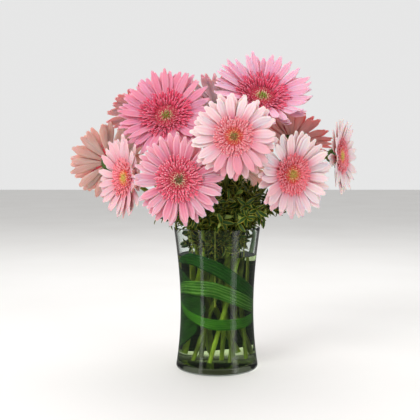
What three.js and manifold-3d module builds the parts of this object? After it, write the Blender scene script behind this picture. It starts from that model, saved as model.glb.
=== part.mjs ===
// A bouquet of pink gerberas in a flared glass vase, with a broad lining leaf and strap leaves wound
// inside the glass and a collar of small-leaved foliage at its mouth. Millimetres, +Z up. The origin is the centre of the
// vase's underside, the bouquet's front faces -Y and +X is to the right of someone looking at it.
import * as THREE from "three";
import { mergeVertices } from "three/addons/utils/BufferGeometryUtils.js";
import Module from "manifold-3d";

const wasm = await Module();
wasm.setup();

// Clearance between pieces that rest against each other.
const GAP = 0.35;
const TURN = 2 * Math.PI;
const UP = new THREE.Vector3(0, 0, 1);

// Vase: a hand-blown gathering vase with a waist, a flared rim and a thick floor.
const VASE_HEIGHT = 205;
const VASE_WALL = 2.8;
const VASE_FLOOR = 8;
const WAIST_HEIGHT = 88;
const WAIST_RADIUS = 53.1;
const RIM_FLARE = 9.6;
const RIM_FLARE_POWER = 1.8;
const FOOT_FLARE = 7;
const HEEL_RADIUS = 3.5;
const FLOOR_FILLET = 6;
const VASE_SEGMENTS = 32;
const WALL_STEPS = 6;

// Water stands about 40 mm below the rim.
const WATER_LEVEL = 165;

// Gerbera parts, along the head's own axis from the plane where the petals are held.
const STEM_RADIUS = 3.2;
const STEM_SIDES = 8;
const STEM_STEPS = 10;
const STEM_FOOT_HEIGHT = 14;
const PETAL_COUNT = 17;
const PETAL_THICKNESS = 1.2;
const SEGMENTS_PER_PETAL = 3;
const NOTCH_SHARE = 0.7;
const PETAL_PLATE_SHARE = 0.5;
const CALYX_RADIUS = 12;
const CALYX_DEPTH = 17;
const CALYX_SEGMENTS = 10;
const DISC_SHARE = 0.46;
const DISC_HEIGHT = 6;
const DISC_SEGMENTS = 12;

// The stems cross inside the vase as a spiral hand-tied bunch does.
const SPIRAL_TWIST = THREE.MathUtils.degToRad(95);
const RINGS = {
  outer: { foot: 38, neck: 38 },
  inner: { foot: 18, neck: 17 },
};

// Strap leaves and the lining leaf lie inside the glass, one layer over the next.
const STRAP_THICKNESS = 0.8;
const STRAP_LAYER = 1.3;
const STRAP_STEP = THREE.MathUtils.degToRad(13);
const STRAP_TIP_WIDTH = 2;
const STRAP_ROW_WIDTH = 16;
const BLADE_HALF_WIDTH = 3.2;
const BLADE_TAPER = 0.75;

// Foliage sprigs: a twig runs up beside the glass from the water and leans out over the rim.
const TWIG_RADIUS = 1.3;
const TWIG_SIDES = 6;
const TWIG_STEPS = 10;
const TWIG_FOOT = { radius: 41, height: 95 };
const TWIG_WET = { radius: 43, height: 150 };
const TWIG_NECK = { radius: 45, height: 195 };
const TWIG_BEND = { radius: 53, height: 222 };
const LEAFED_FROM = 0.56;
const LEAF_LENGTH = 17;
const LEAF_WIDTH = 8;
const LEAF_THICKNESS = 0.9;
const GOLDEN_ANGLE = 2.39996;

// Each gerbera: where its eye is, the way it faces, its petal length from the eye, how far the petal
// tips rise above the eye, the angle round the vase where its stem leaves the mouth and its ring.
const GERBERAS = [
  { name: "front_left", eye: [-52, -84, 275], faces: [0.05, -1, 0.03], radius: 62, cup: 4,
    neck: 238, ring: "outer", colour: 0xe8a0b4 },
  { name: "centre", eye: [21, -96, 332], faces: [0, -1, 0.08], radius: 58, cup: 4,
    neck: 276, ring: "inner", colour: 0xf3dde0 },
  { name: "front_right", eye: [100, -62, 282], faces: [0.47, -0.88, -0.04], radius: 61, cup: 9,
    neck: 312, ring: "outer", colour: 0xf2d9dd },
  { name: "top_left", eye: [-71, -12, 363], faces: [-0.2, -0.88, 0.42], radius: 69, cup: 15,
    neck: 202, ring: "inner", colour: 0xe995b0 },
  { name: "top_right", eye: [64, -8, 390], faces: [0.14, -0.74, 0.66], radius: 73, cup: 15,
    neck: 22, ring: "inner", colour: 0xe794b2 },
  { name: "left", eye: [-127, -30, 277], faces: [-0.77, -0.64, 0], radius: 59, cup: 8,
    neck: 193, ring: "outer", colour: 0xebc4ca },
  { name: "far_left", eye: [-163, 52, 299], faces: [-0.4, 0.9, 0.15], radius: 59, cup: 8,
    neck: 155, ring: "outer", colour: 0xd9a99c },
  { name: "far_right", eye: [177, 10, 308], faces: [0.88, -0.47, 0.02], radius: 55, cup: 8,
    neck: 350, ring: "outer", colour: 0xefc6d4 },
  { name: "back_right", eye: [116, 62, 332], faces: [0.5, 0.5, 0.72], radius: 62, cup: 12,
    neck: 30, ring: "outer", colour: 0xd98f9c },
  { name: "back_left", eye: [-108, 66, 374], faces: [-0.45, 0.5, 0.74], radius: 60, cup: 10,
    neck: 118, ring: "outer", colour: 0xe08a9e },
  { name: "back_top", eye: [0, 78, 384], faces: [-0.06, 0.55, 0.84], radius: 64, cup: 12,
    neck: 110, ring: "inner", colour: 0xe48fa8 },
  { name: "back_low", eye: [32, 119, 302], faces: [0.2, 0.95, 0.2], radius: 60, cup: 10,
    neck: 74, ring: "outer", colour: 0xf0d3d8 },
];

// Strap leaves: the angles round the vase that each spans, its widest part and its height along the
// way, as heights above the vase's underside at evenly spaced stations.
const STRAPS = [
  { name: "strap_leaf_ribbed", from: 150, to: 420, width: 20, layer: 0,
    heights: [104, 116, 122, 120, 107, 92, 84, 82] },
  { name: "strap_leaf_upper", from: 185, to: 470, width: 22, layer: 1,
    heights: [156, 163, 152, 127, 106, 98, 106, 122] },
  { name: "strap_leaf_lower", from: 160, to: 440, width: 14, layer: 2,
    heights: [106, 87, 75, 70, 71, 77, 90, 108] },
  { name: "lining_leaf", from: -22, to: 250, width: 128, layer: 3,
    heights: [92, 90, 88, 87, 87, 88, 90, 92] },
];

// Foliage: the angle round the mouth, how far out and how high each sprig reaches, and its leaves.
const SPRIGS = [
  { name: "foliage_sprig_front", angle: 266, reach: 66, top: 248, leaves: 12 },
  { name: "foliage_sprig_front_right", angle: 331, reach: 88, top: 236, leaves: 12 },
  { name: "foliage_sprig_left", angle: 216, reach: 78, top: 228, leaves: 12 },
  { name: "foliage_sprig_back_left", angle: 136, reach: 74, top: 250, leaves: 12 },
  { name: "foliage_sprig_back_right", angle: 52, reach: 74, top: 250, leaves: 12 },
];

const glass = new THREE.MeshStandardMaterial({
  color: 0xdfe8e2, roughness: 0.03, metalness: 0, transparent: true, opacity: 0.3,
});
const waterTint = new THREE.MeshStandardMaterial({
  color: 0xb9cdbf, roughness: 0.02, metalness: 0, transparent: true, opacity: 0.35,
});
const stemGreen = new THREE.MeshStandardMaterial({ color: 0x96b43a, roughness: 0.55, metalness: 0 });
const calyxGreen = new THREE.MeshStandardMaterial({ color: 0x35622a, roughness: 0.7, metalness: 0 });
const strapGreen = new THREE.MeshStandardMaterial({ color: 0x2f6b28, roughness: 0.4, metalness: 0 });
const leafGreen = new THREE.MeshStandardMaterial({ color: 0x22441a, roughness: 0.35, metalness: 0 });
const bladeGreen = new THREE.MeshStandardMaterial({ color: 0x6f8f6a, roughness: 0.5, metalness: 0 });
const discRose = new THREE.MeshStandardMaterial({ color: 0xd6506e, roughness: 0.8, metalness: 0 });

// Outside radius of the vase at a height.
function outerRadius(height) {
  if (height >= WAIST_HEIGHT) {
    const climb = (height - WAIST_HEIGHT) / (VASE_HEIGHT - WAIST_HEIGHT);
    return WAIST_RADIUS + RIM_FLARE * climb ** RIM_FLARE_POWER;
  }
  const drop = (WAIST_HEIGHT - height) / WAIST_HEIGHT;
  return WAIST_RADIUS + FOOT_FLARE * drop ** 2;
}

function innerRadius(height) {
  return outerRadius(height) - VASE_WALL;
}

// A point on the plan circle of a radius at an angle in degrees, 270 being the front.
function onCircle(radius, degrees, height) {
  const angle = THREE.MathUtils.degToRad(degrees);
  return new THREE.Vector3(radius * Math.cos(angle), radius * Math.sin(angle), height);
}

// Quarter arc in a lathe profile, round its centre from one angle to another.
function quarterArc(centreRadius, centreHeight, radius, from, to, steps) {
  const points = [];
  for (let i = 0; i <= steps; i += 1) {
    const angle = THREE.MathUtils.degToRad(from + ((to - from) * i) / steps);
    points.push(new THREE.Vector2(
      centreRadius + radius * Math.cos(angle),
      centreHeight + radius * Math.sin(angle),
    ));
  }
  return points;
}

// A lathed solid whose axis is turned from +Y to +Z.
function lathe(profile, segments) {
  const geometry = new THREE.LatheGeometry(profile, segments);
  geometry.rotateX(Math.PI / 2);
  return geometry;
}

// Inside outline of the vase from the floor's centre up to a height, kept a clearance off the glass.
function insideOutline(top, clearance) {
  const floor = VASE_FLOOR + clearance;
  const filletTop = floor + FLOOR_FILLET;
  const filletCentre = innerRadius(filletTop) - clearance - FLOOR_FILLET;
  const points = [new THREE.Vector2(0, floor)];
  points.push(...quarterArc(filletCentre, filletTop, FLOOR_FILLET, -90, 0, 3));
  for (let i = 1; i <= WALL_STEPS; i += 1) {
    const height = filletTop + ((top - filletTop) * i) / WALL_STEPS;
    points.push(new THREE.Vector2(innerRadius(height) - clearance, height));
  }
  return points;
}

function makeVase() {
  const rimHalf = VASE_WALL / 2;
  const rimHeight = VASE_HEIGHT - rimHalf;
  const heelCentre = outerRadius(HEEL_RADIUS) - HEEL_RADIUS;
  const outside = [new THREE.Vector2(0, 0)];
  outside.push(...quarterArc(heelCentre, HEEL_RADIUS, HEEL_RADIUS, -90, 0, 3));
  for (let i = 1; i <= WALL_STEPS; i += 1) {
    const height = HEEL_RADIUS + ((rimHeight - HEEL_RADIUS) * i) / WALL_STEPS;
    outside.push(new THREE.Vector2(outerRadius(height), height));
  }
  const rim = quarterArc(outerRadius(rimHeight) - rimHalf, rimHeight, rimHalf, 45, 135, 2);
  const inside = insideOutline(rimHeight, 0).reverse();
  return lathe([...outside, ...rim, ...inside], VASE_SEGMENTS);
}

// A closed mesh turned into a solid that can be joined and cut.
function toSolid(geometry) {
  const bare = geometry.clone();
  bare.deleteAttribute("normal");
  bare.deleteAttribute("uv");
  const merged = mergeVertices(bare, 1e-4);
  const corners = merged.index.array;
  const kept = [];
  for (let i = 0; i < corners.length; i += 3) {
    const [a, b, c] = [corners[i], corners[i + 1], corners[i + 2]];
    if (a !== b && b !== c && c !== a) {
      kept.push(a, b, c);
    }
  }
  const vertProperties = Float32Array.from(merged.attributes.position.array);
  const triVerts = Uint32Array.from(kept);
  return new wasm.Manifold(new wasm.Mesh({ numProp: 3, vertProperties, triVerts }));
}

function toGeometry(solid) {
  const mesh = solid.getMesh();
  const geometry = new THREE.BufferGeometry();
  geometry.setAttribute("position", new THREE.BufferAttribute(mesh.vertProperties, 3));
  geometry.setIndex(new THREE.BufferAttribute(mesh.triVerts, 1));
  return geometry;
}

// The largest of the bodies that a cut leaves.
function largestBody(solid) {
  const bodies = solid.decompose();
  bodies.sort((a, b) => b.volume() - a.volume());
  return bodies[0];
}

// A round section swept along a path.
function sweep(path, radius, sides, steps) {
  const section = new THREE.Shape();
  for (let i = 0; i < sides; i += 1) {
    const angle = (TURN * i) / sides;
    const x = radius * Math.cos(angle);
    const y = radius * Math.sin(angle);
    if (i === 0) {
      section.moveTo(x, y);
    } else {
      section.lineTo(x, y);
    }
  }
  return new THREE.ExtrudeGeometry(section, { steps, extrudePath: path, bevelEnabled: false });
}

function eyeOf(gerbera) {
  return new THREE.Vector3(...gerbera.eye);
}

function facingOf(gerbera) {
  return new THREE.Vector3(...gerbera.faces).normalize();
}

// The point on a gerbera's axis at a height above the plane of its petals.
function onAxis(gerbera, height) {
  return eyeOf(gerbera).addScaledVector(facingOf(gerbera), height);
}

// Stem: straight through the vase, then in one bend up to the back of its head.
function stemPath(gerbera) {
  const ring = RINGS[gerbera.ring];
  const footAngle = gerbera.neck - THREE.MathUtils.radToDeg(SPIRAL_TWIST);
  const foot = onCircle(ring.foot, footAngle, STEM_FOOT_HEIGHT);
  const neck = onCircle(ring.neck, gerbera.neck, VASE_HEIGHT - 8);
  const middle = foot.clone().lerp(neck, 0.5);
  const top = onAxis(gerbera, -CALYX_DEPTH - 2 * GAP);
  const held = onAxis(gerbera, -CALYX_DEPTH - 7);
  const below = onAxis(gerbera, -CALYX_DEPTH - 24);
  below.z -= 5;
  return new THREE.CatmullRomCurve3([foot, middle, neck, below, held, top], false, "centripetal");
}

function makeStem(gerbera, extra = 0) {
  return sweep(stemPath(gerbera), STEM_RADIUS + extra, STEM_SIDES, STEM_STEPS);
}

// Calyx: the green cup of bracts that holds the petals.
function makeCalyx() {
  const profile = [
    new THREE.Vector2(0, -CALYX_DEPTH),
    new THREE.Vector2(STEM_RADIUS + 0.8, -CALYX_DEPTH),
    new THREE.Vector2(CALYX_RADIUS * 0.62, -CALYX_DEPTH * 0.74),
    new THREE.Vector2(CALYX_RADIUS * 0.92, -CALYX_DEPTH * 0.4),
    new THREE.Vector2(CALYX_RADIUS, -GAP),
    new THREE.Vector2(0, -GAP),
  ];
  return lathe(profile, CALYX_SEGMENTS);
}

// Ray florets: a flat plate, then petals that rise to the cup. Three segments of the lathe make each
// petal: one is drawn in to the notch beside it and two hold its blunt tip.
function makeRayFlorets(gerbera, extra = 0) {
  const plateRadius = gerbera.radius * PETAL_PLATE_SHARE;
  const tipRadius = gerbera.radius + extra;
  const under = -extra;
  const over = PETAL_THICKNESS + extra;
  const profile = [
    new THREE.Vector2(0, under),
    new THREE.Vector2(plateRadius, under),
    new THREE.Vector2(tipRadius, under + gerbera.cup),
    new THREE.Vector2(tipRadius, over + gerbera.cup),
    new THREE.Vector2(plateRadius, over),
    new THREE.Vector2(0, over),
  ];
  const geometry = lathe(profile, PETAL_COUNT * SEGMENTS_PER_PETAL);
  const position = geometry.attributes.position;
  const pitch = TURN / (PETAL_COUNT * SEGMENTS_PER_PETAL);
  const notchRadius = gerbera.radius * NOTCH_SHARE + extra;
  const notchRise = (notchRadius - plateRadius) / (tipRadius - plateRadius);
  for (let i = 0; i < position.count; i += 1) {
    const radius = Math.hypot(position.getX(i), position.getY(i));
    const angle = Math.atan2(position.getY(i), position.getX(i));
    const segment = Math.round(angle / pitch + PETAL_COUNT * SEGMENTS_PER_PETAL);
    if (radius > notchRadius && segment % SEGMENTS_PER_PETAL === 0) {
      const flat = position.getZ(i) - gerbera.cup;
      position.setX(i, notchRadius * Math.cos(angle));
      position.setY(i, notchRadius * Math.sin(angle));
      position.setZ(i, flat + gerbera.cup * notchRise);
    }
  }
  return geometry;
}

// Disc: the low dome of short florets round the eye.
function makeDisc(gerbera) {
  const radius = gerbera.radius * DISC_SHARE;
  const base = PETAL_THICKNESS + GAP;
  const profile = [
    new THREE.Vector2(0, base),
    new THREE.Vector2(radius, base),
    new THREE.Vector2(radius * 0.9, base + DISC_HEIGHT * 0.7),
    new THREE.Vector2(radius * 0.55, base + DISC_HEIGHT),
    new THREE.Vector2(radius * 0.2, base + DISC_HEIGHT * 0.7),
    new THREE.Vector2(0, base + DISC_HEIGHT * 0.6),
  ];
  return lathe(profile, DISC_SEGMENTS);
}

// The turn and place that carry a head's own frame to where it is held.
function headPlacement(gerbera) {
  const turn = new THREE.Quaternion().setFromUnitVectors(UP, facingOf(gerbera));
  return new THREE.Matrix4().compose(eyeOf(gerbera), turn, new THREE.Vector3(1, 1, 1));
}

// Height of a strap leaf at a share of its length, smoothed between its stations.
function strapHeight(strap, share) {
  const stations = strap.heights.map((height, i) => new THREE.Vector2(i, height));
  return new THREE.SplineCurve(stations).getPoint(share).y;
}

// Strap leaf: a long box bent to lie inside the glass, tapering to both ends.
function makeStrap(strap, extra = 0) {
  const from = THREE.MathUtils.degToRad(strap.from);
  const span = THREE.MathUtils.degToRad(strap.to - strap.from);
  const steps = Math.round(span / STRAP_STEP);
  const rows = 2 * Math.ceil(strap.width / (2 * STRAP_ROW_WIDTH));
  const geometry = new THREE.BoxGeometry(1, 1, 1, steps, rows, 1);
  const position = geometry.attributes.position;
  for (let i = 0; i < position.count; i += 1) {
    const share = position.getX(i) + 0.5;
    const across = position.getY(i) * 2;
    const inward = position.getZ(i) + 0.5;
    const taper = Math.sin(Math.PI * THREE.MathUtils.clamp(share, 0.02, 0.98)) ** 0.5;
    const halfWidth = Math.max(STRAP_TIP_WIDTH, strap.width * taper) / 2 + extra;
    const endward = (extra / WAIST_RADIUS) * Math.sign(share - 0.5) * (share < 0.01 || share > 0.99);
    const angle = from + span * share + endward;
    const height = strapHeight(strap, share) + across * halfWidth;
    const outside = innerRadius(height) - GAP - strap.layer * STRAP_LAYER;
    const cutOutside = extra > 0 ? innerRadius(height) + 1 : outside;
    const inside = outside - STRAP_THICKNESS - extra;
    const radius = inward > 0.5 ? cutOutside : inside;
    position.setXYZ(i, radius * Math.cos(angle), radius * Math.sin(angle), height);
  }
  return geometry;
}

// One small pointed leaf in its own frame, its root at the origin and its tip along +X.
function makeLeaf() {
  const half = LEAF_WIDTH / 2;
  const outline = new THREE.Shape();
  outline.moveTo(0, -0.5);
  outline.lineTo(LEAF_LENGTH * 0.45, -half);
  outline.lineTo(LEAF_LENGTH, 0);
  outline.lineTo(LEAF_LENGTH * 0.45, half);
  outline.lineTo(0, 0.5);
  return new THREE.ExtrudeGeometry(outline, { depth: LEAF_THICKNESS, bevelEnabled: false });
}

function twigPath(sprig) {
  const points = [TWIG_FOOT, TWIG_WET, TWIG_NECK, TWIG_BEND].map(
    (station) => onCircle(station.radius, sprig.angle, station.height),
  );
  points.push(onCircle(sprig.reach, sprig.angle, sprig.top));
  return new THREE.CatmullRomCurve3(points, false, "centripetal");
}

function makeTwig(sprig, extra = 0) {
  return sweep(twigPath(sprig), TWIG_RADIUS + extra, TWIG_SIDES, TWIG_STEPS);
}

// Sprig: a twig with leaves set round it above the rim, joined into one solid and cut clear of the
// stems and heads that it grows between.
function makeSprig(sprig, obstacles) {
  const path = twigPath(sprig);
  let solid = toSolid(makeTwig(sprig));
  const leaf = makeLeaf();
  for (let i = 0; i < sprig.leaves; i += 1) {
    const share = LEAFED_FROM + ((1 - LEAFED_FROM) * i) / (sprig.leaves - 1);
    const tangent = path.getTangent(share);
    const side = new THREE.Vector3().crossVectors(tangent, UP).normalize();
    side.applyAxisAngle(tangent, i * GOLDEN_ANGLE);
    const along = side.multiplyScalar(0.85).addScaledVector(tangent, 0.5).normalize();
    const across = new THREE.Vector3().crossVectors(UP, along).normalize();
    const face = new THREE.Vector3().crossVectors(along, across);
    const placement = new THREE.Matrix4().makeBasis(along, across, face);
    placement.setPosition(path.getPoint(share));
    solid = solid.add(toSolid(leaf.clone().applyMatrix4(placement)));
  }
  for (const obstacle of obstacles) {
    solid = solid.subtract(obstacle);
  }
  return toGeometry(largestBody(solid));
}

// The one narrow blade of grass at the front right, standing up out of the mouth.
function makeBlade(extra = 0) {
  const path = new THREE.QuadraticBezierCurve3(
    new THREE.Vector3(49, -8, 168),
    new THREE.Vector3(58, -12, 212),
    new THREE.Vector3(50, -20, 244),
  );
  const geometry = new THREE.BoxGeometry(1, 1, 1, 6, 1, 1);
  const position = geometry.attributes.position;
  for (let i = 0; i < position.count; i += 1) {
    const share = position.getX(i) + 0.5;
    const point = path.getPoint(share);
    const halfWidth = BLADE_HALF_WIDTH * (1 - BLADE_TAPER * share) + extra;
    const side = position.getY(i) * 2 * halfWidth;
    const depth = position.getZ(i) * (STRAP_THICKNESS + 2 * extra);
    position.setXYZ(i, point.x + side, point.y + depth, point.z);
  }
  return geometry;
}

const bouquet = new THREE.Group();

function addMesh(name, geometry, material) {
  const mesh = new THREE.Mesh(geometry, material);
  mesh.name = name;
  bouquet.add(mesh);
}

addMesh("vase", makeVase(), glass);

const stemCuts = [];
const headCuts = [];
for (const gerbera of GERBERAS) {
  const placement = headPlacement(gerbera);
  const petalColour = new THREE.MeshStandardMaterial({
    color: gerbera.colour, roughness: 0.6, metalness: 0,
  });
  addMesh(`gerbera_${gerbera.name}_stem`, makeStem(gerbera), stemGreen);
  const head = new THREE.Group();
  head.applyMatrix4(placement);
  const parts = [
    ["calyx", makeCalyx(), calyxGreen],
    ["ray_florets", makeRayFlorets(gerbera), petalColour],
    ["disc", makeDisc(gerbera), discRose],
  ];
  for (const [part, geometry, material] of parts) {
    const mesh = new THREE.Mesh(geometry, material);
    mesh.name = `gerbera_${gerbera.name}_${part}`;
    head.add(mesh);
  }
  bouquet.add(head);
  stemCuts.push(toSolid(makeStem(gerbera, GAP)));
  headCuts.push(toSolid(makeRayFlorets(gerbera, GAP).applyMatrix4(placement)));
}

const strapCuts = [];
for (const strap of STRAPS) {
  addMesh(strap.name, makeStrap(strap), strapGreen);
  strapCuts.push(toSolid(makeStrap(strap, GAP)));
}

addMesh("grass_blade", makeBlade(), bladeGreen);
const obstacles = [...stemCuts, ...headCuts, toSolid(makeBlade(GAP))];
const twigCuts = [];
for (const sprig of SPRIGS) {
  addMesh(sprig.name, makeSprig(sprig, obstacles), leafGreen);
  twigCuts.push(toSolid(makeTwig(sprig, GAP)));
}

// Water fills the vase round the stems, twigs and strap leaves.
const waterOutline = insideOutline(WATER_LEVEL, GAP);
waterOutline.push(new THREE.Vector2(0, WATER_LEVEL));
let water = toSolid(lathe(waterOutline, VASE_SEGMENTS));
for (const cut of [...stemCuts, ...strapCuts, ...twigCuts]) {
  water = water.subtract(cut);
}
addMesh("water", toGeometry(largestBody(water)), waterTint);

export default bouquet;
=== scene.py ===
import math

import bmesh
import bpy
import numpy as np
from mathutils import Matrix, Vector


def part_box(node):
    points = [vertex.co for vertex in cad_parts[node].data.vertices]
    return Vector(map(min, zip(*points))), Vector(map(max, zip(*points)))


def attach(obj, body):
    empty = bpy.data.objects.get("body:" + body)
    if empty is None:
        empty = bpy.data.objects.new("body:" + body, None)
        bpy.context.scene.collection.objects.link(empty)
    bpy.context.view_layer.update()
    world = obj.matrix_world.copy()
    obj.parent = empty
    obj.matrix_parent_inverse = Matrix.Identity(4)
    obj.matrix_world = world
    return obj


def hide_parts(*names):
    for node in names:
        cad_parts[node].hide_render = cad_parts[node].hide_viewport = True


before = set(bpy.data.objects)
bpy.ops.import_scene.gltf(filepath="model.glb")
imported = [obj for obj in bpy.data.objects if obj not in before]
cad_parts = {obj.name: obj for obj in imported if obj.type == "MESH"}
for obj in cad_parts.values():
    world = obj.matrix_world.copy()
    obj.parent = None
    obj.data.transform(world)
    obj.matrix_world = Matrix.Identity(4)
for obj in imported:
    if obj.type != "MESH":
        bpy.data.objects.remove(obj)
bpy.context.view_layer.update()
millimetre = 0.001
inMillimetres = Matrix.Scale(millimetre, 4)
goldenAngle = math.pi * (3 - math.sqrt(5))
print("frame loaded:", len(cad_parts), "nodes")


# Node trees are written with fields: a field wraps a socket so that sums on it add the nodes.
class Field:
    def __init__(self, tree, socket):
        self.tree = tree
        self.socket = socket

    def isVector(self):
        return self.socket.type in ("VECTOR", "RGBA", "ROTATION")

    def combine(self, operation, first, second):
        anyVector = any(isinstance(x, Field) and x.isVector() for x in (first, second))
        if not anyVector:
            return self.tree.add("ShaderNodeMath", {"operation": operation}, {0: first, 1: second})
        if operation == "MULTIPLY":
            leads = isinstance(first, Field) and first.isVector()
            vector, other = (first, second) if leads else (second, first)
            if not isinstance(other, (tuple, Vector)) and not (isinstance(other, Field) and other.isVector()):
                return self.tree.add("ShaderNodeVectorMath", {"operation": "SCALE"},
                                     {0: vector, "Scale": other})
        return self.tree.add("ShaderNodeVectorMath", {"operation": operation}, {0: first, 1: second})

    def __add__(self, other):
        return self.combine("ADD", self, other)

    def __radd__(self, other):
        return self.combine("ADD", other, self)

    def __sub__(self, other):
        return self.combine("SUBTRACT", self, other)

    def __rsub__(self, other):
        return self.combine("SUBTRACT", other, self)

    def __mul__(self, other):
        return self.combine("MULTIPLY", self, other)

    def __rmul__(self, other):
        return self.combine("MULTIPLY", other, self)

    def __truediv__(self, other):
        return self.combine("DIVIDE", self, other)

    def __rtruediv__(self, other):
        return self.combine("DIVIDE", other, self)

    def __pow__(self, other):
        return self.combine("POWER", self, other)

    def apply(self, operation, other=0.0):
        return self.tree.add("ShaderNodeMath", {"operation": operation}, {0: self, 1: other})

    def sin(self):
        return self.apply("SINE")

    def cos(self):
        return self.apply("COSINE")

    def abs(self):
        return self.apply("ABSOLUTE")

    def most(self, other):
        return self.apply("MAXIMUM", other)

    def least(self, other):
        return self.apply("MINIMUM", other)

    def smooth(self, low, high, fromValue=0.0, toValue=1.0):
        return self.tree.add("ShaderNodeMapRange", {"interpolation_type": "SMOOTHSTEP"},
                             {"Value": self, "From Min": low, "From Max": high,
                              "To Min": fromValue, "To Max": toValue})

    def ramp(self, *stops):
        return self.tree.add("ShaderNodeValToRGB", {"stops": stops}, {0: self})

    def output(self, name):                      # another output of the same node
        return Field(self.tree, self.tree.find(self.socket.node.outputs, name))


class Tree:
    def __init__(self, tree):
        self.tree = tree
        self.nodes = tree.nodes
        self.links = tree.links

    def find(self, sockets, key):
        if isinstance(key, int):
            return sockets[key]
        named = [s for s in sockets if s.identifier == key]
        named += [s for s in sockets if s.name == key and s.enabled]
        return named[0]

    def add(self, kind, settings=None, inputs=None, out=0):
        node = self.nodes.new(kind)
        for name, value in (settings or {}).items():
            if name == "stops":
                ramp = node.color_ramp
                while len(ramp.elements) < len(value):
                    ramp.elements.new(0.5)
                for element, (position, colour) in zip(ramp.elements, value):
                    element.position = position
                    element.color = (*colour[:3], 1)
            else:
                setattr(node, name, value)
        for key, value in (inputs or {}).items():
            socket = self.find(node.inputs, key)
            if isinstance(value, Field):
                self.links.new(value.socket, socket)
            else:
                socket.default_value = value
        if isinstance(out, int):
            return Field(self, [s for s in node.outputs if s.enabled][out])
        return Field(self, self.find(node.outputs, out))

    def vector(self, x, y, z):
        return self.add("ShaderNodeCombineXYZ", None, {"X": x, "Y": y, "Z": z})

    def cross(self, first, second):
        return self.add("ShaderNodeVectorMath", {"operation": "CROSS_PRODUCT"}, {0: first, 1: second})

    def mix(self, factor, first, second):
        return self.add("ShaderNodeMix", {"data_type": "RGBA", "clamp_factor": True},
                        {"Factor_Float": factor, "A_Color": first, "B_Color": second}, "Result_Color")


def tone(red, green, blue):                      # a colour as the eye reads it, made linear
    shares = (red / 255, green / 255, blue / 255)
    return (*(c / 12.92 if c <= 0.04045 else ((c + 0.055) / 1.055) ** 2.4 for c in shares), 1.0)


# ---- growing pieces with geometry nodes
def startGeometryTree(name, inputs):
    group = bpy.data.node_groups.new(name, "GeometryNodeTree")
    group.interface.new_socket(name="Geometry", in_out="INPUT", socket_type="NodeSocketGeometry")
    kinds = {int: "NodeSocketInt", float: "NodeSocketFloat", str: "NodeSocketMaterial"}
    for socketName, value in inputs.items():
        socket = group.interface.new_socket(name=socketName, in_out="INPUT", socket_type=kinds[type(value)])
        if not isinstance(value, str):
            socket.default_value = value
    group.interface.new_socket(name="Geometry", in_out="OUTPUT", socket_type="NodeSocketGeometry")
    tree = Tree(group)
    start = group.nodes.new("NodeGroupInput")
    values = {s.name: Field(tree, s) for s in start.outputs if s.name}
    return group, tree, values


def endGeometryTree(group, tree, geometry, material):
    geometry = tree.add("GeometryNodeRealizeInstances", None, {"Geometry": geometry})
    shaded = tree.add("GeometryNodeSetShadeSmooth", None, {"Geometry": geometry})
    coloured = tree.add("GeometryNodeSetMaterial", None, {"Geometry": shaded, "Material": material})
    end = group.nodes.new("NodeGroupOutput")
    tree.links.new(coloured.socket, end.inputs[0])


def grow(group, values, material, base=None):    # one evaluation of a tree, as a plain mesh
    mesh = base or bpy.data.meshes.new("seed")
    carrier = bpy.data.objects.new("seed", mesh)
    bpy.context.scene.collection.objects.link(carrier)
    modifier = carrier.modifiers.new("grow", "NODES")
    modifier.node_group = group
    for item in group.interface.items_tree:
        if item.in_out == "INPUT" and item.name in values:
            modifier[item.identifier] = values[item.name]
        elif item.in_out == "INPUT" and item.name == "Material":
            modifier[item.identifier] = material
    graph = bpy.context.evaluated_depsgraph_get()
    grown = bpy.data.meshes.new_from_object(carrier.evaluated_get(graph))
    bpy.data.objects.remove(carrier)
    bpy.data.meshes.remove(mesh)
    return grown


def store(tree, geometry, name, value, vector=False):
    return tree.add("GeometryNodeStoreNamedAttribute",
                    {"data_type": "FLOAT_VECTOR" if vector else "FLOAT", "domain": "POINT"},
                    {"Geometry": geometry, "Name": name, "Value": value})


def recall(tree, name, vector=False):
    return tree.add("GeometryNodeInputNamedAttribute", {"data_type": "FLOAT_VECTOR" if vector else "FLOAT"},
                    {"Name": name}, "Attribute")


def bladeGrid(tree, alongCount, acrossCount):    # a closed thin slab whose points know where they are on it
    slab = tree.add("GeometryNodeMeshCube", None,
                    {"Size": (1.0, 1.0, 1.0), "Vertices X": alongCount, "Vertices Y": acrossCount,
                     "Vertices Z": 2}, "Mesh")
    parts = tree.add("ShaderNodeSeparateXYZ", None, {0: tree.add("GeometryNodeInputPosition")})
    slab = store(tree, slab, "along", parts.output("X") + 0.5)
    slab = store(tree, slab, "across", parts.output("Y") * 2.0)
    return store(tree, slab, "side", parts.output("Z") * 2.0)


def readBlade(tree):
    return (recall(tree, name) for name in ("along", "across", "side", "petal"))


def numberedSeats(tree, count):
    seats = tree.add("GeometryNodePoints", None, {"Count": count}, "Geometry")
    return store(tree, seats, "petal", tree.add("GeometryNodeInputIndex"))


def setOn(tree, seats, shape):                   # a copy of the shape on every seat, free to be bent
    copies = tree.add("GeometryNodeInstanceOnPoints", None, {"Points": seats, "Instance": shape})
    return tree.add("GeometryNodeRealizeInstances", None, {"Geometry": copies})


def chances(tree, ident, seed, step, count):     # that many unlike random numbers for each petal, bud or leaf
    return [tree.add("FunctionNodeRandomValue", {"data_type": "FLOAT"},
                     {"Min_001": 0.0, "Max_001": 1.0, "ID": ident, "Seed": seed + step * k}, "Value_001")
            for k in range(count)]


def moved(tree, geometry, place):
    return tree.add("GeometryNodeSetPosition", None, {"Geometry": geometry, "Position": place})


def roundAxis(tree, angle, outward, sideways, height):
    x = outward * angle.cos() - sideways * angle.sin()
    y = outward * angle.sin() + sideways * angle.cos()
    return tree.vector(x, y, height)


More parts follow.
